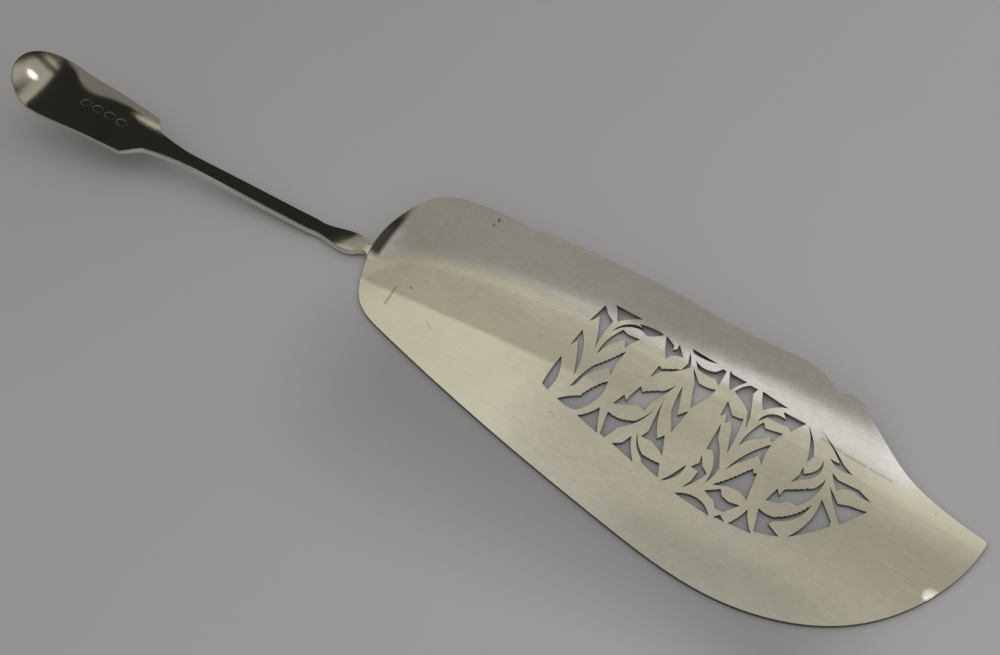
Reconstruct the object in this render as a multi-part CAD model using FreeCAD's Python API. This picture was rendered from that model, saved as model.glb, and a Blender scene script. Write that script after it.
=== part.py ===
import FreeCAD, Part
import math
import os

V = FreeCAD.Vector
UP = V(0, 0, 1)

# Blade sheet and its outline, x from the heel towards the tip, y towards the raised back
sheet = 0.8
blade_length = 175.4
belly_x = 130.0
belly_depth = 51.8
heel_round = 18.0
back_height = 25.7
back_x = 50.0
back_fall = 5.8
tip_drop = 6.9
tip_round = 0.8
sweep_depth = 1.5
heel_notch_x = 37.5
tip_notch_x = 130.4
tip_notch_drop = 11.0
notch_depth = 0.9
notch_run = 3.5
bump_length = 6.5

# Line where the flat panel turns up into the raised back
fold_x = 79.8
fold_y = 5.35
fold_slope = 9.0
fold_radius = 170.0
fold_turn = 21.0
heel_fold_radius = 17.0
heel_fold_turn = 118.0
bend_radius = 28.0
tip_bend_radius = 46.0
bend_run = 105.0
bend_angle = 54.0

# Pierced field: its length, its plain margin at the tip and the line that its middle lies on
pierce_length = 84.9
pierce_tip_margin = 26.7
pierce_y = -8.15
tooth_pitch = 1.3
tooth_depth = 0.22

# Fiddle-pattern handle, x measured back from the blade's heel
handle_length = 124.6
handle_thickness = 1.8
crown_radius = 57.0
fiddle_width = 23.2
shoulder_x = 81.3
shoulder_width = 18.2
shoulder_run = 4.6
shoulder_blend = 7.0
stem_x = 64.0
stem_width = 4.9
rise = 9.1
end_rise = 20.3
turn_up = 12.0
low_x = 13.0
low_z = 2.2
neck_x = 7.6
neck_width = 7.6
waist_x = 2.2
waist_width = 3.4
neck_proud = 0.35
lap_length = 4.5
lap_width = 4.4
lap_clearance = 0.25
rim_chamfer = 0.3

# Row of blank punches on the handle
punch_x = 101.0
punch_pitch = 4.4
punch_length = 3.4
punch_width = 2.6
punch_depth = 0.12
punch_count = 4

ALL_Z = 60.0
FLAT_BOW = 0.001


def spline(points):
    curve = Part.BSplineCurve()
    curve.interpolate([V(x, y, 0) for x, y in points])
    return curve.toShape()


def arcBetween(a, b, bow):
    # bow is the arc's height over half its chord, positive to the left of travel
    a, b = V(a[0], a[1], 0), V(b[0], b[1], 0)
    half = (b - a) * 0.5
    left = V(-half.y, half.x, 0)
    return Part.Arc(a, a + half + left * bow, b).toShape()


def prism(face, low=-ALL_Z, high=ALL_Z):
    shape = face.copy()
    shape.translate(V(0, 0, low))
    return shape.extrude(V(0, 0, high - low))


# Outline of the blade: near edge, swept tip, two notches in the raised back, rounded heel
def bladeOutline():
    tip_run = blade_length - belly_x
    tip = (blade_length, -tip_drop)
    tip_back = (blade_length - 1.4 * tip_round, -tip_drop + 1.3 * tip_round)
    near = [
        (0.0, 0.0),
        (heel_round * 0.14, -heel_round * 0.43),
        (heel_round * 0.5, -heel_round * 0.98),
        (heel_round * 1.1, -heel_round * 1.28),
        (belly_x * 0.46, -belly_depth * 0.7),
        (belly_x * 0.77, -belly_depth * 0.915),
        (belly_x, -belly_depth),
        (belly_x + tip_run * 0.55, -belly_depth * 0.845),
        (belly_x + tip_run * 0.86, -belly_depth * 0.53),
        tip,
    ]
    notch = (tip_notch_x, back_height - tip_notch_drop)
    bump = (tip_notch_x + bump_length, notch[1] - notch_depth * 0.65)
    fall = bump[1] + tip_drop
    swept = blade_length - bump[0]
    sweep = [
        tip_back,
        (blade_length - swept * 0.28, -tip_drop + fall * 0.24 - sweep_depth * 0.8),
        (blade_length - swept * 0.54, -tip_drop + fall * 0.46 - sweep_depth),
        (blade_length - swept * 0.8, -tip_drop + fall * 0.74 - sweep_depth * 0.1),
        bump,
    ]
    heel_notch = (heel_notch_x, back_height - notch_depth)
    back = [
        notch,
        (tip_notch_x - notch_run, notch[1] + notch_depth * 2.5),
        (back_x + (tip_notch_x - back_x) * 0.74, back_height - back_fall),
        (back_x + (tip_notch_x - back_x) * 0.36, back_height - back_fall * 0.34),
        (back_x, back_height),
        (heel_notch_x + notch_run, back_height - notch_depth * 0.28),
        heel_notch,
    ]
    heel = [
        heel_notch,
        (heel_notch_x - notch_run, back_height - notch_depth * 0.55),
        (heel_notch_x * 0.57, back_height - notch_depth * 1.1),
        (heel_round * 0.52, back_height * 0.85),
        (heel_round * 0.11, back_height * 0.53),
        (0.0, 0.0),
    ]
    edges = [
        spline(near),
        arcBetween(tip, tip_back, -0.4),
        spline(sweep),
        arcBetween(bump, notch, -0.35),
        spline(back),
        spline(heel),
    ]
    return Part.Face(Part.Wire(edges))


# Dished sheet: flat panel, two turned bends round the heel and a long bend that opens to the tip
def bendSection(point, along, radius, thick):
    out = UP.cross(along)
    lead = math.radians(bend_angle)

    def at(r, angle, centre_z):
        return point + out * (r * math.sin(angle)) + UP * (centre_z - r * math.cos(angle))

    top_z = sheet
    centre = top_z + radius
    outer = radius + sheet
    inner = outer - thick
    a, b = at(outer, 0, centre), at(outer, lead, centre)
    c, d = at(inner, lead, centre), at(inner, 0, centre)
    edges = [
        Part.Arc(a, at(outer, lead / 2, centre), b).toShape(),
        Part.LineSegment(b, c).toShape(),
        Part.Arc(c, at(inner, lead / 2, centre), d).toShape(),
        Part.LineSegment(d, a).toShape(),
    ]
    return Part.Wire(edges)


def foldLine():
    slope = math.radians(fold_slope)
    along = V(math.cos(slope), -math.sin(slope), 0)
    out = UP.cross(along)
    start = V(fold_x, fold_y, 0)
    centre = start - out * fold_radius
    turn = FreeCAD.Rotation(UP, fold_turn)
    joint = centre + turn.multVec(start - centre)
    joint_along = turn.multVec(along)
    heel_centre = joint - UP.cross(joint_along) * heel_fold_radius
    return start, along, centre, joint, joint_along, heel_centre


def dish(thick=sheet):
    start, along, centre, joint, joint_along, heel_centre = foldLine()
    end = start + along * bend_run
    long_bend = Part.makeLoft(
        [bendSection(start, along, bend_radius, thick), bendSection(end, along, tip_bend_radius, thick)],
        True, True)
    back_bend = Part.Face(bendSection(start, along, bend_radius, thick)).revolve(centre, UP, fold_turn)
    heel_bend = Part.Face(bendSection(joint, joint_along, bend_radius, thick)).revolve(
        heel_centre, UP, heel_fold_turn)
    heel_turn = FreeCAD.Rotation(UP, heel_fold_turn)
    half_turn = FreeCAD.Rotation(UP, heel_fold_turn / 2)
    heel_start = heel_centre + heel_turn.multVec(joint - heel_centre)
    heel_mid = heel_centre + half_turn.multVec(joint - heel_centre)
    back_mid = centre + FreeCAD.Rotation(UP, fold_turn / 2).multVec(start - centre)
    far = V(end.x, -2 * belly_depth, 0)
    near = V(heel_start.x, -2 * belly_depth, 0)
    panel = Part.Face(Part.Wire([
        Part.Arc(heel_start, heel_mid, joint).toShape(),
        Part.Arc(joint, back_mid, start).toShape(),
        Part.LineSegment(start, end).toShape(),
        Part.LineSegment(end, far).toShape(),
        Part.LineSegment(far, near).toShape(),
        Part.LineSegment(near, heel_start).toShape(),
    ]))
    flat = prism(panel, 0, thick)
    return flat.fuse([heel_bend, back_bend, long_bend])


# Openings of the pierced field, corner by corner. A third value bows the side that follows outwards
# (or inwards if negative), and a fourth one gives that side the saw teeth of a leaf's edge.
OPENINGS = [
    [(66.0, 13.7), (67.8, 11.6), (70.1, 10.0, -.08), (70.4, -0.3, -.04), (66.2, 10.0), (64.6, 7.2, .05)],
    [(68.5, 14.8), (77.0, 13.8, -.05), (72.2, 11.6), (71.4, 10.5), (70.6, 11.4, -.1)],
    [(71.4, 7.0, .46), (78.3, 11.4), (76.8, 12.2, .12), (84.1, 11.9, .1), (80.2, 9.8), (78.4, 10.7, -.36)],
    [(73.8, 8.9), (75.6, 8.1), (79.1, 8.1, -.1), (77.0, 3.7), (75.8, 6.2, -.12), (72.4, 1.4),
     (71.8, -1.9, .18)],
    [(64.6, 3.6, .14), (70.2, -11.2, -.03), (65.3, 0.0), (64.4, -2.8)],
    [(64.4, -7.3, .1), (67.3, -15.5), (67.0, -19.0), (64.8, -17.9, .05)],
    [(77.9, 2.8), (77.7, -2.0), (78.1, -6.6), (77.0, -4.5, -.12), (72.7, -10.0), (72.2, -13.8),
     (71.2, -15.3, .06), (72.9, -6.2, -.05, 1)],
    [(78.7, -8.7, .26), (76.2, -21.2, .18), (70.5, -20.2, .1), (75.1, -16.4, .1, 1)],
    [(81.0, -17.3), (82.4, -20.9), (84.3, -24.9), (77.4, -22.5, -.14)],
    [(83.4, -17.6, -.28, 1), (90.6, -16.6, -.1), (92.8, -11.3, .2), (87.9, -20.6), (87.3, -22.8),
     (86.4, -25.3), (85.0, -24.7)],
    [(91.9, -21.4, -.08), (95.8, -28.3), (88.9, -25.9), (91.0, -24.4)],
    [(92.8, -19.6, -.15), (96.8, -25.2, -.12, 1), (101.5, -25.4), (103.1, -29.4, .06), (97.6, -27.3),
     (96.9, -26.2, .18)],
    [(86.6, -6.0), (87.8, -7.4, .05, 1), (92.2, -4.3, -.1), (94.1, -0.8, .08), (91.2, -9.0),
     (90.9, -12.6), (88.6, -11.7, .1), (83.2, -14.5), (84.3, -10.5), (85.5, -12.0, .05)],
    [(95.6, -0.6), (98.6, -9.7), (100.4, -7.1), (99.7, -15.3), (96.8, -9.4, .05)],
    [(93.4, -6.3, -.1), (97.6, -18.9), (98.8, -17.1), (101.1, -23.1, -.08), (96.8, -20.3),
     (94.0, -20.3), (94.8, -18.0)],
    [(84.8, 11.9), (87.8, 10.2), (88.2, 8.9), (89.0, 9.5), (89.0, 11.0), (91.6, 7.9, -.15), (88.6, 7.2),
     (87.7, 5.6, .05)],
    [(92.5, 9.9, .12), (94.5, 6.0, .1), (88.6, 1.0), (87.1, -2.0), (87.4, 2.7), (88.4, 2.0, 0, 1),
     (92.9, 4.4), (93.5, 6.8)],
    [(92.5, 11.2), (100.2, 9.9, .1), (93.6, 10.1)],
    [(94.9, 8.5, -.28), (101.0, 7.7), (102.2, 9.1), (103.2, 8.8), (103.2, 4.2), (101.8, 5.7, .12),
     (96.4, 6.4)],
    [(95.3, 6.3), (98.6, 2.5, -.12), (103.3, 2.7), (102.5, -0.8), (100.4, -5.8, .05), (97.9, 1.6)],
    [(104.0, 9.3), (105.0, 8.7), (109.2, 8.1, -.1), (106.3, 4.2, .05)],
    [(107.6, 4.4, .2), (110.4, 7.7), (112.5, 7.4), (111.9, 5.8), (114.2, -0.8), (114.8, -4.9),
     (113.0, 0.3, -.08)],
    [(113.8, 7.4), (121.4, 5.7, -.2), (116.1, 2.5, .06)],
    [(116.4, -1.1, .55), (122.2, 2.5), (120.8, 4.3), (127.1, 3.6, -.1), (124.7, -0.2), (123.4, 0.9, .06),
     (118.0, 1.0)],
    [(127.9, 3.3, .12), (132.3, -4.4, .1), (131.6, -6.7, -.06), (129.3, 1.0)],
    [(130.8, 3.8, .06), (139.5, -3.1), (142.4, -4.9, .1), (138.0, -4.6), (136.0, -3.0, -.1),
     (138.6, -3.2, -.07)],
    [(107.4, 0.9), (110.2, -2.7, -.1), (113.1, -2.4), (114.0, -10.0), (114.1, -14.2), (112.0, -7.0, -.1),
     (110.6, -4.7), (109.7, -5.9), (108.9, -2.6), (107.7, -4.4)],
    [(117.8, -0.8), (118.9, -2.4), (123.3, -1.7), (121.9, -5.6), (120.7, -4.0), (119.4, -5.8, -.22),
     (115.5, -10.6, .12)],
    [(109.0, -6.7), (110.4, -11.4), (112.0, -13.9), (114.4, -19.4, .1), (113.3, -25.3, -.2),
     (110.8, -15.2), (109.3, -15.6)],
    [(122.2, -6.3), (122.0, -9.2), (122.6, -13.2), (120.9, -10.8, 0, 1), (117.0, -16.4),
     (115.8, -19.2, .13)],
    [(121.4, -15.3), (122.1, -16.6), (122.8, -16.1), (123.9, -24.8, -.36), (117.2, -23.8),
     (115.2, -24.6, -.05, 1)],
    [(109.2, -17.8), (110.7, -20.9), (112.6, -22.4, .1), (109.2, -29.2), (110.3, -26.4), (110.5, -22.8),
     (108.4, -22.4), (109.7, -20.4)],
    [(107.2, -22.5, .3), (104.0, -29.9, -.06)],
    [(114.2, -27.2), (117.4, -24.8), (118.4, -26.5), (120.4, -27.3), (123.2, -26.9), (120.6, -30.6),
     (118.6, -30.6), (117.3, -28.7)],
    [(108.5, -31.5, .48), (118.1, -33.3)],
    [(120.4, -31.7), (122.0, -33.0), (119.2, -33.0)],
    [(125.2, -26.9, -.1), (128.6, -32.8), (122.9, -32.9, -.1)],
    [(127.3, -25.3, -.2), (131.6, -25.7, -.2, 1), (137.5, -18.0, .3), (131.7, -26.8), (130.9, -28.2),
     (134.4, -30.3, .06), (128.9, -31.9)],
    [(128.8, -17.8), (129.9, -19.4), (130.3, -17.2, -.05, 1), (136.2, -13.2, -.1), (137.5, -9.4, .2),
     (134.6, -20.0), (132.2, -19.8), (130.7, -21.6), (127.7, -22.3)],
    [(134.9, -4.5, .42), (132.6, -12.3), (130.7, -14.2), (131.6, -11.2), (131.5, -8.6),
     (132.3, -10.5, -.34)],
    [(138.1, -6.7), (140.0, -8.0), (145.4, -8.3), (149.2, -10.3), (146.2, -10.0, -.25), (142.0, -9.8),
     (140.9, -11.2, .05)],
    [(139.1, -10.8), (142.6, -14.6), (144.9, -13.8), (149.3, -13.3), (145.0, -20.0, .03)],
    [(138.9, -15.3), (143.1, -20.2), (143.4, -21.6, .05), (136.2, -29.3, -.18)],
]


# Brings the drawn corners to the field's length and place
def place(corner):
    drawn_x = [c[0] for corners in OPENINGS for c in corners]
    drawn_y = [c[1] for corners in OPENINGS for c in corners]
    scale = pierce_length / (max(drawn_x) - min(drawn_x))
    x = blade_length - pierce_tip_margin - (max(drawn_x) - corner[0]) * scale
    y = pierce_y + (corner[1] - (max(drawn_y) + min(drawn_y)) / 2) * scale
    return (x, y)


def toothedSide(a, b, bow):
    # Teeth lean towards b and stand on the outer side of the arc from a to b
    arc = arcBetween(a, b, bow or FLAT_BOW)
    count = max(2, round(arc.Length / tooth_pitch))
    first, last = arc.ParameterRange
    corners = [V(a[0], a[1], 0)]
    for i in range(count):
        t = first + (last - first) * (i + 1) / count
        foot = arc.valueAt(t)
        ahead = arc.tangentAt(t)
        if i < count - 1:
            corners.append(foot + UP.cross(ahead) * tooth_depth)
            corners.append(foot)
        else:
            corners.append(V(b[0], b[1], 0))
    return [Part.LineSegment(p, q).toShape() for p, q in zip(corners, corners[1:])]


def openingFace(corners):
    edges = []
    for i, corner in enumerate(corners):
        a, b = place(corner), place(corners[(i + 1) % len(corners)])
        bow = corner[2] if len(corner) > 2 else 0
        if len(corner) > 3:
            edges += toothedSide(a, b, bow)
        elif bow:
            edges.append(arcBetween(a, b, bow))
        else:
            edges.append(Part.LineSegment(V(a[0], a[1], 0), V(b[0], b[1], 0)).toShape())
    return Part.Face(Part.Wire(edges))


def makeBlade():
    plate = dish().common(prism(bladeOutline()))
    openings = Part.makeCompound([prism(openingFace(corners)) for corners in OPENINGS])
    return plate.cut(openings)


# Height of the blade's underside where the handle meets the heel
def heelLift():
    heel_centre = foldLine()[-1]
    out = heel_centre.Length - heel_fold_radius
    outer = bend_radius + sheet
    return outer - math.sqrt(outer ** 2 - out ** 2)


# Plan of the handle: round end, fiddle, shoulders, stem, neck with a waist, tongue under the heel
def handlePlan():
    end_x = -handle_length + fiddle_width / 2
    shoulder = (-shoulder_x, shoulder_width / 2)
    step = (-shoulder_x + shoulder_run, shoulder_width / 2 - shoulder_run)
    stem = (-stem_x, stem_width / 2)
    stem_foot = (-2.5 * neck_x, stem_width * 0.53)
    fiddle = [
        (end_x, fiddle_width / 2),
        (end_x + (-shoulder_x - end_x) * 0.65, fiddle_width * 0.2 + shoulder_width * 0.3),
        shoulder,
    ]
    neck = [
        stem_foot,
        (-1.6 * neck_x, stem_width * 0.3 + neck_width * 0.21),
        (-neck_x, neck_width / 2),
        (-waist_x * 1.7, waist_width * 0.2 + neck_width * 0.3),
        (-waist_x, waist_width / 2),
        (0.0, lap_width / 2),
    ]
    edges = [
        Part.Arc(V(-handle_length, 0, 0), V(end_x - fiddle_width * 0.3536, fiddle_width * 0.3536, 0),
                 V(end_x, fiddle_width / 2, 0)).toShape(),
        spline(fiddle),
        Part.LineSegment(V(*shoulder, 0), V(*step, 0)).toShape(),
        spline([step, (stem[0] - shoulder_blend, stem_width * 0.68), stem]),
        Part.LineSegment(V(*stem, 0), V(*stem_foot, 0)).toShape(),
        spline(neck),
    ]
    mirrored = [e.mirror(V(0, 0, 0), V(0, 1, 0)) for e in edges]
    lap = arcBetween((0.0, lap_width / 2), (0.0, -lap_width / 2), 2 * lap_length / lap_width)
    return Part.Face(Part.Wire(Part.__sortEdges__(edges + [lap] + mirrored)))


# Crest of the handle's crowned face, from the turned-up end to the tongue under the heel
def crest(raised=0.0):
    neck_top = heelLift() + sheet + neck_proud
    lap_top = max(heelLift(), lap_clearance + handle_thickness)
    points = [
        (-handle_length * 1.008, end_rise * 1.042),
        (-handle_length + turn_up * 0.4, rise + (end_rise - rise) * 0.77),
        (-handle_length + turn_up, rise + (end_rise - rise) * 0.45),
        (-shoulder_x - (handle_length - shoulder_x) * 0.42, rise * 1.33),
        (-shoulder_x, rise),
        (-shoulder_x * 0.74, low_z + (rise - low_z) * 0.66),
        (-shoulder_x * 0.49, low_z + (rise - low_z) * 0.36),
        (-shoulder_x * 0.25, low_z + (rise - low_z) * 0.06),
        (-low_x, low_z),
        (-neck_x * 0.75, neck_top),
        (-waist_x * 0.4, neck_top),
        (lap_length * 1.25, lap_top),
    ]
    curve = Part.BSplineCurve()
    curve.interpolate([V(x, 0, z + raised) for x, z in points])
    return curve


# Section of the handle's strip: crowned on top, flat below, wider than the plan
def crownedStrip():
    path = crest()
    start = path.value(path.FirstParameter)
    ahead = path.tangent(path.FirstParameter)[0]
    up = ahead.cross(V(0, 1, 0))
    half = fiddle_width * 0.54
    sag = crown_radius - math.sqrt(crown_radius ** 2 - half ** 2)
    side = V(0, half, 0)
    left = start + side - up * sag
    right = start - side - up * sag
    low = up * (handle_thickness - sag)
    section = Part.Wire([
        Part.Arc(left, start, right).toShape(),
        Part.LineSegment(right, right - low).toShape(),
        Part.LineSegment(right - low, left - low).toShape(),
        Part.LineSegment(left - low, left).toShape(),
    ])
    return Part.Wire(path.toShape()).makePipeShell([section], True, False)


# Both rims of the strip are eased, but not the tongue nor the short upright edges
def easeRims(strip):
    rims = [e for e in strip.Edges if e.BoundBox.ZLength < e.Length * 0.9 and e.BoundBox.Center.x < 0]
    return strip.makeChamfer(min(rim_chamfer, handle_thickness * 0.3), rims)


def makeHandle():
    handle = easeRims(crownedStrip().common(prism(handlePlan())).Solids[0])
    heel_space = dish(bend_radius * 0.8).common(prism(bladeOutline()))
    handle = handle.cut(heel_space)
    ends = crest(-punch_depth), crest(handle_thickness)
    a, b = [c.value(c.FirstParameter) for c in ends]
    c, d = [c.value(c.LastParameter) for c in ends]
    skin = Part.Face(Part.Wire(Part.__sortEdges__([
        ends[0].toShape(), Part.LineSegment(c, d).toShape(),
        ends[1].toShape(), Part.LineSegment(b, a).toShape()])))
    skin.translate(V(0, -fiddle_width, 0))
    skin = skin.extrude(V(0, 2 * fiddle_width, 0))
    for i in range(punch_count):
        ellipse = Part.Ellipse(V(-punch_x + i * punch_pitch, 0, 0), punch_length / 2, punch_width / 2)
        punch = prism(Part.Face(Part.Wire(ellipse.toShape())))
        handle = handle.cut(punch.common(skin))
    return handle


parts = {"blade": makeBlade(), "handle": makeHandle()}
whole = Part.makeCompound(list(parts.values())).optimalBoundingBox(False, False)
os.makedirs("parts", exist_ok=True)
for name, shape in parts.items():
    shape.translate(V(-whole.Center.x, -whole.Center.y, -whole.ZMin))
    shape.exportStep("parts/" + name + ".step")
    print(name, len(shape.Solids), shape.isValid(), round(shape.Volume), shape.optimalBoundingBox(False, False))
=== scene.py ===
import bpy
import math
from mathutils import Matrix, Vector

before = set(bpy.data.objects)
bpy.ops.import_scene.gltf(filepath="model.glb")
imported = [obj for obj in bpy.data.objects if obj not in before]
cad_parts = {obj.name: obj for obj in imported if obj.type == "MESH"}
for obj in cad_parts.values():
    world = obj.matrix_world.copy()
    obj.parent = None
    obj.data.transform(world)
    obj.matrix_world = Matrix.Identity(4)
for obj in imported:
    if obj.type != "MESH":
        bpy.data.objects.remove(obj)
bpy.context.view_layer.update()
print("frame loaded:", sorted(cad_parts))


def newMaterial(name):
    mat = bpy.data.materials.new(name)
    mat.use_nodes = True
    return mat, mat.node_tree


def newObject(name, data):
    made = bpy.data.objects.new(name, data)
    bpy.context.scene.collection.objects.link(made)
    return made


def addNode(tree, kind, **values):
    node = tree.nodes.new(kind)
    for key, value in values.items():
        if key in node.inputs:
            node.inputs[key].default_value = value
        else:
            setattr(node, key, value)
    return node


def plug(tree, socket, value):
    if isinstance(value, bpy.types.NodeSocket):
        tree.links.new(value, socket)
    else:
        socket.default_value = value


def ramp(tree, value, low, high, toMin=0.0, toMax=1.0):
    # soft step from toMin at low to toMax at high; low may be the larger of the two
    node = addNode(tree, "ShaderNodeMapRange", interpolation_type="SMOOTHSTEP")
    plug(tree, node.inputs["Value"], value)
    if low > high:
        low, high, toMin, toMax = high, low, toMax, toMin
    node.inputs["From Min"].default_value = low
    node.inputs["From Max"].default_value = high
    node.inputs["To Min"].default_value = toMin
    node.inputs["To Max"].default_value = toMax
    return node.outputs["Result"]


def calc(tree, operation, a, b=0.0):
    node = addNode(tree, "ShaderNodeMath", operation=operation)
    plug(tree, node.inputs[0], a)
    plug(tree, node.inputs[1], b)
    return node.outputs[0]


def times(tree, first, *others):
    for other in others:
        first = calc(tree, "MULTIPLY", first, other)
    return first


def blend(tree, factor, a, b):
    node = addNode(tree, "ShaderNodeMix", data_type="RGBA")
    plug(tree, node.inputs["Factor"], factor)
    plug(tree, node.inputs["A"], a)
    plug(tree, node.inputs["B"], b)
    return node.outputs["Result"]


def noise(tree, place, scale, detail=4.0, roughness=0.6):
    node = addNode(tree, "ShaderNodeTexNoise", Scale=scale, Detail=detail, Roughness=roughness)
    tree.links.new(place, node.inputs["Vector"])
    return node.outputs["Fac"]


def stretched(tree, place, turn, scale):
    node = addNode(tree, "ShaderNodeMapping", Rotation=(0.0, 0.0, math.radians(turn)), Scale=scale)
    tree.links.new(place, node.inputs["Vector"])
    return node.outputs["Vector"]


def splitPlace(tree, place):
    node = addNode(tree, "ShaderNodeSeparateXYZ")
    tree.links.new(place, node.inputs[0])
    return node.outputs["X"], node.outputs["Y"], node.outputs["Z"]


def vectorCalc(tree, operation, a, b):
    node = addNode(tree, "ShaderNodeVectorMath", operation=operation)
    plug(tree, node.inputs[0], a)
    plug(tree, node.inputs[1], b)
    return node.outputs


def zoneMask(tree, along, across, zone):
    # each step of a zone is 0 at its first place and 1 at its second, in metres
    steps = [ramp(tree, along, *step) for step in zone["along"]]
    steps += [ramp(tree, across, *step) for step in zone["across"]]
    return times(tree, *steps)


# silver of both pieces: worn polish, brushed streaks, faint patina, small dark specks
silverLook = {
    "colour": (0.93, 0.91, 0.86, 1.0),
    "stroke": (18.0, 420.0, 420.0),  # scales along and across the strokes
    "fineStroke": (60.0, 2600.0, 2600.0),
    "fineTurn": -3.0,  # degrees between the two
    "streak": (6.0, 4.0, 0.65),  # noises: scale, detail and roughness
    "fineStreak": (2.0, 4.0, 0.6),
    "smear": (28.0, 5.0),
    "cloud": (11.0, 3.0),
    "mottle": (520.0, 3.0),
    "speckPatch": (60.0, 2.0),
    "wornCloud": (0.40, 0.72, 0.0, 0.35),  # noise from, to; bare silver from, to
    "wornStreak": (0.35, 0.75, -0.06, 0.10),
    "wornMottle": (0.30, 0.70, -0.07, 0.07),
    "wallFrom": (0.45, 0.15),  # upright part of the normal, from face to wall
    "speckColour": (0.10, 0.085, 0.06, 1.0),
    "speckScale": 190.0,
    "speckSize": (0.10, 0.03),
    "speckFrom": (0.62, 0.66),  # the noise that gathers them in patches
    "speckAmount": 0.75,
    "roughGain": 2.4,
    "roughFrom": (0.2, 1.0),
    "bumpHeight": 0.0001,
    "edgeSamples": 6,
}
bladeLook = {
    **silverLook,
    "patina": (0.62, 0.60, 0.565, 1.0),
    "wallColour": (0.26, 0.245, 0.21, 1.0),
    "roughness": (0.15, 0.27),
    "scratchDepth": 0.08,
    "edgeRadius": 0.00012,
    "streakTurn": 16.0,
    # painted sheen: the heel, side and tip zones are lighter silver standing in for reflections
    "heelPaintedSheen": {"along": [(0.064, 0.022)], "across": [(0.0053, 0.0033)], "waver": 0.0016},
    "fold": {"x": 0.0544, "y": 0.0184, "slope": 0.158},  # line where the panel turns up
    "sidePaintedSheen": (-0.013, -0.001, 0.0, 0.42),  # distance from that line, then how strong the painted sheen is
    "tipPaintedSheen": {"along": [(0.115, 0.135)], "across": [(-0.006, 0.003)], "amount": 0.60},
    # painted shade: less bare silver over the belly, standing in for darker reflections
    "bellyPaintedShade": {"along": [(0.02, 0.07)], "across": [(-0.002, -0.026)], "keep": 0.45},
    # painted shade: the zones below darken the panel near the belly and the tip, standing in for
    # reflections
    "paintedShadeColour": (0.20, 0.19, 0.15, 1.0),
    "paintedShades": [
        {"along": [(0.085, 0.125)], "across": [(0.012, -0.004), (-0.034, -0.008)], "amount": 0.26},
        {"along": [(0.060, 0.085), (0.145, 0.115)], "across": [(-0.020, -0.032)], "amount": 0.36},
    ],
    "markColour": (0.16, 0.14, 0.10, 1.0),
    "markFade": (1.6, 0.6),  # in widths from its middle, where a mark ends and where it is whole
    "marks": [  # start, end, width, strength
        ((-0.0120, 0.0058), (-0.0110, -0.0010), 0.00028, 0.45),
        ((0.0021, -0.0009), (0.0046, -0.0024), 0.00016, 0.35),
        ((-0.0084, 0.0075), (-0.0083, 0.0075), 0.00036, 0.60),
        ((0.0017, 0.0366), (0.0018, 0.0366), 0.00040, 0.60),
        ((0.0009, 0.0352), (0.0010, 0.0352), 0.00036, 0.45),
        ((-0.0060, 0.0115), (-0.0059, 0.0115), 0.00030, 0.25),
        # a dark line along the edge of the pierced field, in three parts
        ((0.1060, 0.0156), (0.1114, 0.0143), 0.00036, 0.30),
        ((0.1125, 0.0140), (0.1182, 0.0131), 0.00036, 0.30),
        ((0.1193, 0.0129), (0.1250, 0.0121), 0.00030, 0.26),
        ((0.0300, 0.0100), (0.0304, 0.0105), 0.00024, 0.25),
        ((0.0450, -0.0110), (0.0454, -0.0108), 0.00026, 0.25),
    ],
    # painted shade at the joint: a soft darker zone and a dark corner, standing in for shade and dark
    # reflections
    "joint": {  # dark corner of the heel beside the handle
        "x": -0.0254,
        "y": 0.01305,
        "bow": 10.8,
        "span": [(-0.002, 0.001), (0.020, 0.011)],
        "soft": (0.020, 0.004),
        "softAmount": 0.12,
        "softShadeColour": (0.20, 0.20, 0.16, 1.0),
        "dark": (0.0036, 0.0020),
        "taper": 0.10,
        "cornerShadeColour": (0.07, 0.07, 0.055, 1.0),
    },
}
handleLook = {
    **silverLook,
    "patina": (0.80, 0.77, 0.71, 1.0),
    "wallColour": (0.90, 0.87, 0.80, 1.0),
    "roughness": (0.06, 0.12),
    "scratchDepth": 0.05,
    "edgeRadius": 0.0002,
    "streakTurn": 0.0,
}


def markMask(tree, place, start, end, ends, strength):
    # short dark line between two points of the blade, in metres
    run = Vector((end[0] - start[0], end[1] - start[1], 0.0))
    away = vectorCalc(tree, "SUBTRACT", place, (start[0], start[1], 0.0))[0]
    flat = vectorCalc(tree, "MULTIPLY", away, (1.0, 1.0, 0.0))[0]
    part = vectorCalc(tree, "DOT_PRODUCT", flat, run / run.length_squared)["Value"]
    held = addNode(tree, "ShaderNodeClamp")
    tree.links.new(part, held.inputs["Value"])
    foot = addNode(tree, "ShaderNodeVectorMath", operation="SCALE")
    foot.inputs[0].default_value = run
    tree.links.new(held.outputs[0], foot.inputs["Scale"])
    gap = vectorCalc(tree, "DISTANCE", flat, foot.outputs[0])["Value"]
    return ramp(tree, gap, *ends, 0.0, strength)


def paintedSheen(tree, along, across, smear, look):
    # painted sheen: lighter silver standing in for reflections, by the heel, from the fold upwards and
    # at the tip
    wavy = calc(tree, "ADD", across, times(tree, smear, look["heelPaintedSheen"]["waver"]))
    heel = zoneMask(tree, along, wavy, look["heelPaintedSheen"])
    fold = look["fold"]
    fall = times(tree, calc(tree, "SUBTRACT", along, fold["x"]), fold["slope"])
    fromFold = calc(tree, "SUBTRACT", across, calc(tree, "SUBTRACT", fold["y"], fall))
    side = ramp(tree, fromFold, *look["sidePaintedSheen"])
    tip = times(tree, zoneMask(tree, along, fromFold, look["tipPaintedSheen"]), look["tipPaintedSheen"]["amount"])
    return calc(tree, "MAXIMUM", heel, calc(tree, "ADD", side, tip))


# painted shade of the blade, at the joint and in darker zones, then its dark marks
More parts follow.
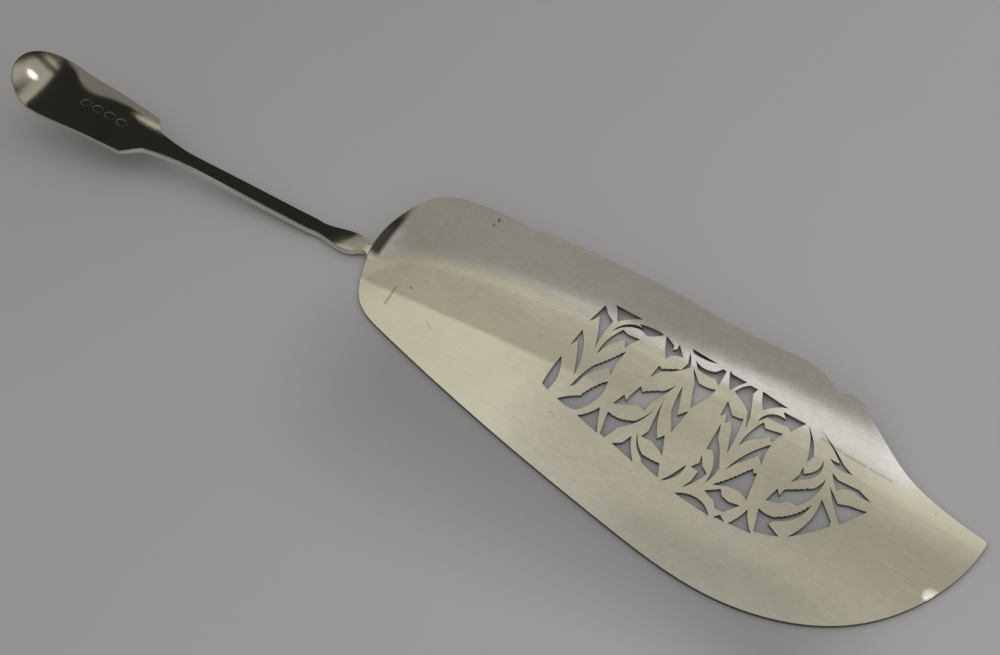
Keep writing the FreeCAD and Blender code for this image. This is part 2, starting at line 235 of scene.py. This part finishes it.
def bladeShadeAndMarks(tree, colour, coords, along, across, look):
    joint = look["joint"]
    out = calc(tree, "SUBTRACT", along, joint["x"])
    up = calc(tree, "SUBTRACT", across, joint["y"])
    edge = calc(tree, "SUBTRACT", out, times(tree, up, up, joint["bow"]))
    span = times(tree, *[ramp(tree, up, *step) for step in joint["span"]])
    soft = times(tree, ramp(tree, edge, *joint["soft"]), span, joint["softAmount"])
    colour = blend(tree, soft, colour, joint["softShadeColour"])
    narrow = calc(tree, "ADD", edge, times(tree, up, joint["taper"]))
    corner = times(tree, ramp(tree, narrow, *joint["dark"]), span)
    colour = blend(tree, corner, colour, joint["cornerShadeColour"])
    # painted shade zones near the belly and the tip
    for zone in look["paintedShades"]:
        tone = times(tree, zoneMask(tree, along, across, zone), zone["amount"])
        colour = blend(tree, tone, colour, look["paintedShadeColour"])
    for start, end, width, strength in look["marks"]:
        ends = [width * part for part in look["markFade"]]
        mask = markMask(tree, coords, start, end, ends, strength)
        colour = blend(tree, mask, colour, look["markColour"])
    return colour


def makeSilver(name, look):
    mat, tree = newMaterial(name)
    shader = tree.nodes["Principled BSDF"]
    coords = addNode(tree, "ShaderNodeTexCoord").outputs["Object"]
    along, across, _ = splitPlace(tree, coords)
    turn = look["streakTurn"]
    strokes = stretched(tree, coords, turn, look["stroke"])
    fineStrokes = stretched(tree, coords, turn + look["fineTurn"], look["fineStroke"])
    streak = noise(tree, strokes, *look["streak"])
    fineStreak = noise(tree, fineStrokes, *look["fineStreak"])
    smear = noise(tree, coords, *look["smear"])
    cloud = noise(tree, coords, *look["cloud"])
    mottle = noise(tree, coords, *look["mottle"])
    # 0 where the patina is whole and 1 where the silver is bare: real wear, and on the blade also
    # painted sheen and painted shade
    wearAndPaintedSheen = ramp(tree, cloud, *look["wornCloud"])
    # on the blade, painted sheen and painted shade join the wear
    if "heelPaintedSheen" in look:
        wearAndPaintedSheen = calc(tree, "ADD", wearAndPaintedSheen, paintedSheen(tree, along, across, smear, look))
        # painted shade: the belly keeps less bare silver
        belly = zoneMask(tree, along, across, look["bellyPaintedShade"])
        wearAndPaintedSheen = times(tree, wearAndPaintedSheen, ramp(tree, belly, 0.0, 1.0, 1.0, look["bellyPaintedShade"]["keep"]))
    wearAndPaintedSheen = calc(tree, "ADD", wearAndPaintedSheen, ramp(tree, streak, *look["wornStreak"]))
    wearAndPaintedSheen = calc(tree, "ADD", wearAndPaintedSheen, ramp(tree, mottle, *look["wornMottle"]))
    wearAndPaintedSheen = calc(tree, "MINIMUM", calc(tree, "MAXIMUM", wearAndPaintedSheen, 0.0), 1.0)
    colour = blend(tree, wearAndPaintedSheen, look["patina"], look["colour"])
    # walls of the piercings and rims get a colour of their own, picked by how upright the surface is:
    # dark on the blade, pale on the handle
    normal = addNode(tree, "ShaderNodeNewGeometry").outputs["True Normal"]
    upright = calc(tree, "ABSOLUTE", splitPlace(tree, normal)[2])
    colour = blend(tree, ramp(tree, upright, *look["wallFrom"]), colour, look["wallColour"])
    if "joint" in look:
        colour = bladeShadeAndMarks(tree, colour, coords, along, across, look)
    speck = addNode(tree, "ShaderNodeTexVoronoi", Scale=look["speckScale"], Randomness=1.0)
    tree.links.new(coords, speck.inputs["Vector"])
    patch = noise(tree, coords, *look["speckPatch"])
    spot = ramp(tree, speck.outputs["Distance"], *look["speckSize"])
    spot = times(tree, spot, ramp(tree, patch, *look["speckFrom"]), look["speckAmount"])
    colour = blend(tree, spot, colour, look["speckColour"])
    tree.links.new(colour, shader.inputs["Base Color"])
    mixed = times(tree, smear, fineStreak, look["roughGain"])
    rough = ramp(tree, mixed, *look["roughFrom"], *look["roughness"])
    tree.links.new(rough, shader.inputs["Roughness"])
    # edges softened in the material, and the strokes as faint scratches
    bevel = addNode(tree, "ShaderNodeBevel", Radius=look["edgeRadius"], samples=look["edgeSamples"])
    bump = addNode(tree, "ShaderNodeBump", Strength=look["scratchDepth"], Distance=look["bumpHeight"])
    tree.links.new(calc(tree, "ADD", streak, fineStreak), bump.inputs["Height"])
    tree.links.new(bevel.outputs["Normal"], bump.inputs["Normal"])
    tree.links.new(bump.outputs["Normal"], shader.inputs["Normal"])
    shader.inputs["Metallic"].default_value = 1.0
    return mat


for nodeName, look in (("blade", bladeLook), ("handle", handleLook)):
    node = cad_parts[nodeName]
    node.data.materials.clear()
    node.data.materials.append(makeSilver(nodeName + "Silver", look))
print("silver given to both pieces")

floorLook = {
    "size": 20.0,
    "dim": (0.250, 0.2475, 0.244, 1.0),
    "light": (0.338, 0.333, 0.330, 1.0),
    "lightFrom": (-0.25, 0.25),  # along the blade, where it gets lighter
    "slant": 0.1,
    "grain": (9.0, 2.0),
    "grainAmount": 0.06,
    "roughness": 0.9,
    "specular": 0.1,
    "edge": {"x": -0.020, "y": -0.0125, "slope": -0.2125},  # line under the blade's belly
    "shadeReach": (0.0, 0.12, 0.058, 0.024),  # x by the heel and by the tip, then how far it reaches
    "shade": {"along": [(-0.040, 0.010), (0.148, 0.115)], "across": [(0.014, -0.012)]},
    "shadeDepth": 0.30,
    "paintedShadeColour": (0.0, 0.0, 0.0, 1.0),
}


def makeFloor(look):
    bpy.ops.object.select_all(action="DESELECT")
    bpy.ops.mesh.primitive_plane_add(size=look["size"], location=(0, 0, 0))
    floor = bpy.context.object
    floor.name = "floor"
    mat, tree = newMaterial("paleFloor")
    shader = tree.nodes["Principled BSDF"]
    coords = addNode(tree, "ShaderNodeTexCoord").outputs["Object"]
    along, across, _ = splitPlace(tree, coords)
    # painted light: the floor grows lighter along the blade
    slant = calc(tree, "SUBTRACT", along, times(tree, across, look["slant"]))
    grain = times(tree, noise(tree, coords, *look["grain"]), look["grainAmount"])
    lighter = ramp(tree, calc(tree, "ADD", slant, grain), *look["lightFrom"])
    colour = blend(tree, lighter, look["dim"], look["light"])
    # soft shade that the blade throws on its belly's side
    edge = look["edge"]
    line = times(tree, calc(tree, "SUBTRACT", along, edge["x"]), edge["slope"])
    line = calc(tree, "ADD", line, edge["y"])
    reach = ramp(tree, along, *look["shadeReach"])
    out = calc(tree, "DIVIDE", calc(tree, "SUBTRACT", line, across), reach)
    shade = times(tree, ramp(tree, out, 1.0, 0.0), zoneMask(tree, along, across, look["shade"]))
    colour = blend(tree, times(tree, shade, look["shadeDepth"]), colour, look["paintedShadeColour"])
    tree.links.new(colour, shader.inputs["Base Color"])
    shader.inputs["Roughness"].default_value = look["roughness"]
    shader.inputs["Specular IOR Level"].default_value = look["specular"]
    floor.data.materials.append(mat)


makeFloor(floorLook)
print("floor laid")

# the room as the silver shows it; all else gets an even white light
roomLook = {
    "even": (1.0, 1.0, 1.0, 1.0),
    "grey": (0.288, 0.277, 0.245, 1.0),  # on the side of the belly
    "warm": (0.585, 0.56, 0.428, 1.0),  # beyond the raised side
    "warmFrom": (0.24, 0.56),  # on the Y of the direction
    "dusk": (0.18, 0.172, 0.15, 1.0),  # further beyond, or low down
    "duskFar": (0.63, 0.70),  # on its Y
    "duskLow": (0.650, 0.620),  # on its Z
}


def makeRoom(look):
    world = bpy.data.worlds.new("studio")
    bpy.context.scene.world = world
    world.use_nodes = True
    tree = world.node_tree
    _, far, high = splitPlace(tree, addNode(tree, "ShaderNodeTexCoord").outputs["Generated"])
    colour = blend(tree, ramp(tree, far, *look["warmFrom"]), look["grey"], look["warm"])
    dusk = calc(tree, "MAXIMUM", ramp(tree, far, *look["duskFar"]), ramp(tree, high, *look["duskLow"]))
    colour = blend(tree, dusk, colour, look["dusk"])
    glossy = addNode(tree, "ShaderNodeLightPath").outputs["Is Glossy Ray"]
    colour = blend(tree, glossy, look["even"], colour)
    background = tree.nodes["Background"]
    tree.links.new(colour, background.inputs["Color"])
    background.inputs["Strength"].default_value = 1.0


makeRoom(roomLook)

# cards that show in reflections only; corners in metres
darkCard = (0.012, 0.013, 0.010, 1.0)
cardLook = {
    "whiteCard": {"colour": (0.80, 0.80, 0.785, 1.0), "height": 0.300, "corners": [
        (-0.0054, 0.024), (0.140, 0.024), (0.140, 0.146), (0.030, 0.150),
        (-0.0904, 0.153), (-0.0754, 0.120), (-0.0404, 0.094), (-0.0174, 0.059)]},
    "stemCard": {"colour": darkCard, "height": 0.060, "corners": [
        (-0.0785, 0.000), (-0.0785, 0.082), (-0.128, 0.082), (-0.1355, 0.065), (-0.1355, 0.000)]},
    "neckEndCard": {"colour": darkCard, "height": 0.020, "corners": [
        (-0.0485, 0.016), (-0.0458, 0.030), (-0.0458, 0.045), (-0.078, 0.045), (-0.078, 0.016)]},
    "fiddleCard": {"colour": darkCard, "height": 0.060, "corners": [
        (-0.1405, -0.020), (-0.1405, 0.074), (-0.150, 0.074), (-0.157, 0.0715),
        (-0.172, 0.0655), (-0.190, 0.060), (-0.190, -0.020)]},
    "shoulderCard": {"colour": darkCard, "height": 0.200, "corners": [
        (-0.185, 0.000), (-0.185, 0.150), (-0.200, 0.150),
        (-0.200, 0.190), (-0.250, 0.200), (-0.250, 0.000)]},
    "neckCard": {"colour": (0.27, 0.25, 0.21, 1.0), "height": 0.198, "corners": [
        (-0.154, 0.152), (-0.154, 0.205), (-0.199, 0.205), (-0.199, 0.152)]},
    "endCard": {"colour": (0.38, 0.36, 0.30, 1.0), "height": 0.100, "corners": [
        (-0.149, -0.020), (-0.100, -0.020), (-0.100, 0.0752), (-0.149, 0.0752)]},
    "arcCard": {"colour": (0.08, 0.08, 0.07, 1.0), "height": 0.100, "corners": [
        (-0.142, 0.0752), (-0.110, 0.0752), (-0.110, 0.088), (-0.142, 0.088)]},
}


def makeCard(name, look):
    corners = [(x, y, look["height"]) for x, y in look["corners"]]
    mesh = bpy.data.meshes.new(name)
    mesh.from_pydata(corners, [], [range(len(corners))])
    card = newObject(name, mesh)
    mat, tree = newMaterial(name + "Face")
    tree.nodes.remove(tree.nodes["Principled BSDF"])
    glow = addNode(tree, "ShaderNodeEmission", Color=look["colour"], Strength=1.0)
    tree.links.new(glow.outputs[0], tree.nodes["Material Output"].inputs["Surface"])
    mesh.materials.append(mat)
    card.visible_camera = False
    card.visible_diffuse = False
    card.visible_shadow = False


for cardName, look in cardLook.items():
    makeCard(cardName, look)
print("room and cards set")

# small bright spots, each seen on one place of the silver only
glintLook = {
    "endGlint": {"place": (-0.1279, 0.0535, 0.1059), "target": (-0.1441, 0.0108, 0.0170),
                 "power": 0.0030, "size": 0.0012, "cone": 2.0, "soft": 0.5},
    "rimGlint": {"place": (0.1410, 0.0461, 0.0814), "target": (0.1435, -0.0136, 0.0008),
                 "power": 0.0090, "size": 0.0014, "cone": 0.7, "soft": 0.5},
}


def makeGlint(name, look):
    light = bpy.data.lights.new(name, "SPOT")
    light.energy = look["power"]
    light.shadow_soft_size = look["size"]
    light.spot_size = math.radians(look["cone"])
    light.spot_blend = look["soft"]
    lamp = newObject(name, light)
    lamp.location = look["place"]
    lamp.rotation_euler = (Vector(look["target"]) - lamp.location).to_track_quat("-Z", "Y").to_euler()
    lamp.visible_diffuse = False


for glintName, look in glintLook.items():
    makeGlint(glintName, look)
print("glints set")

cameraLook = {
    "lens": 50.4,
    "sensor": 36.0,
    "elevation": 46.5,
    "azimuth": 31.178,
    "place": (0.15013, -0.20821, 0.26622),
    "clip": (0.01, 20.0),
}


def makeCamera(look):
    data = bpy.data.cameras.new("photoCamera")
    data.lens = look["lens"]
    data.sensor_width = look["sensor"]
    data.sensor_fit = "HORIZONTAL"
    data.clip_start, data.clip_end = look["clip"]
    camera = newObject("photoCamera", data)
    camera.location = look["place"]
    camera.rotation_euler = (math.radians(90.0 - look["elevation"]), 0.0, math.radians(look["azimuth"]))
    bpy.context.scene.camera = camera


makeCamera(cameraLook)
bpy.context.scene.view_settings.view_transform = "Standard"
print("camera set")
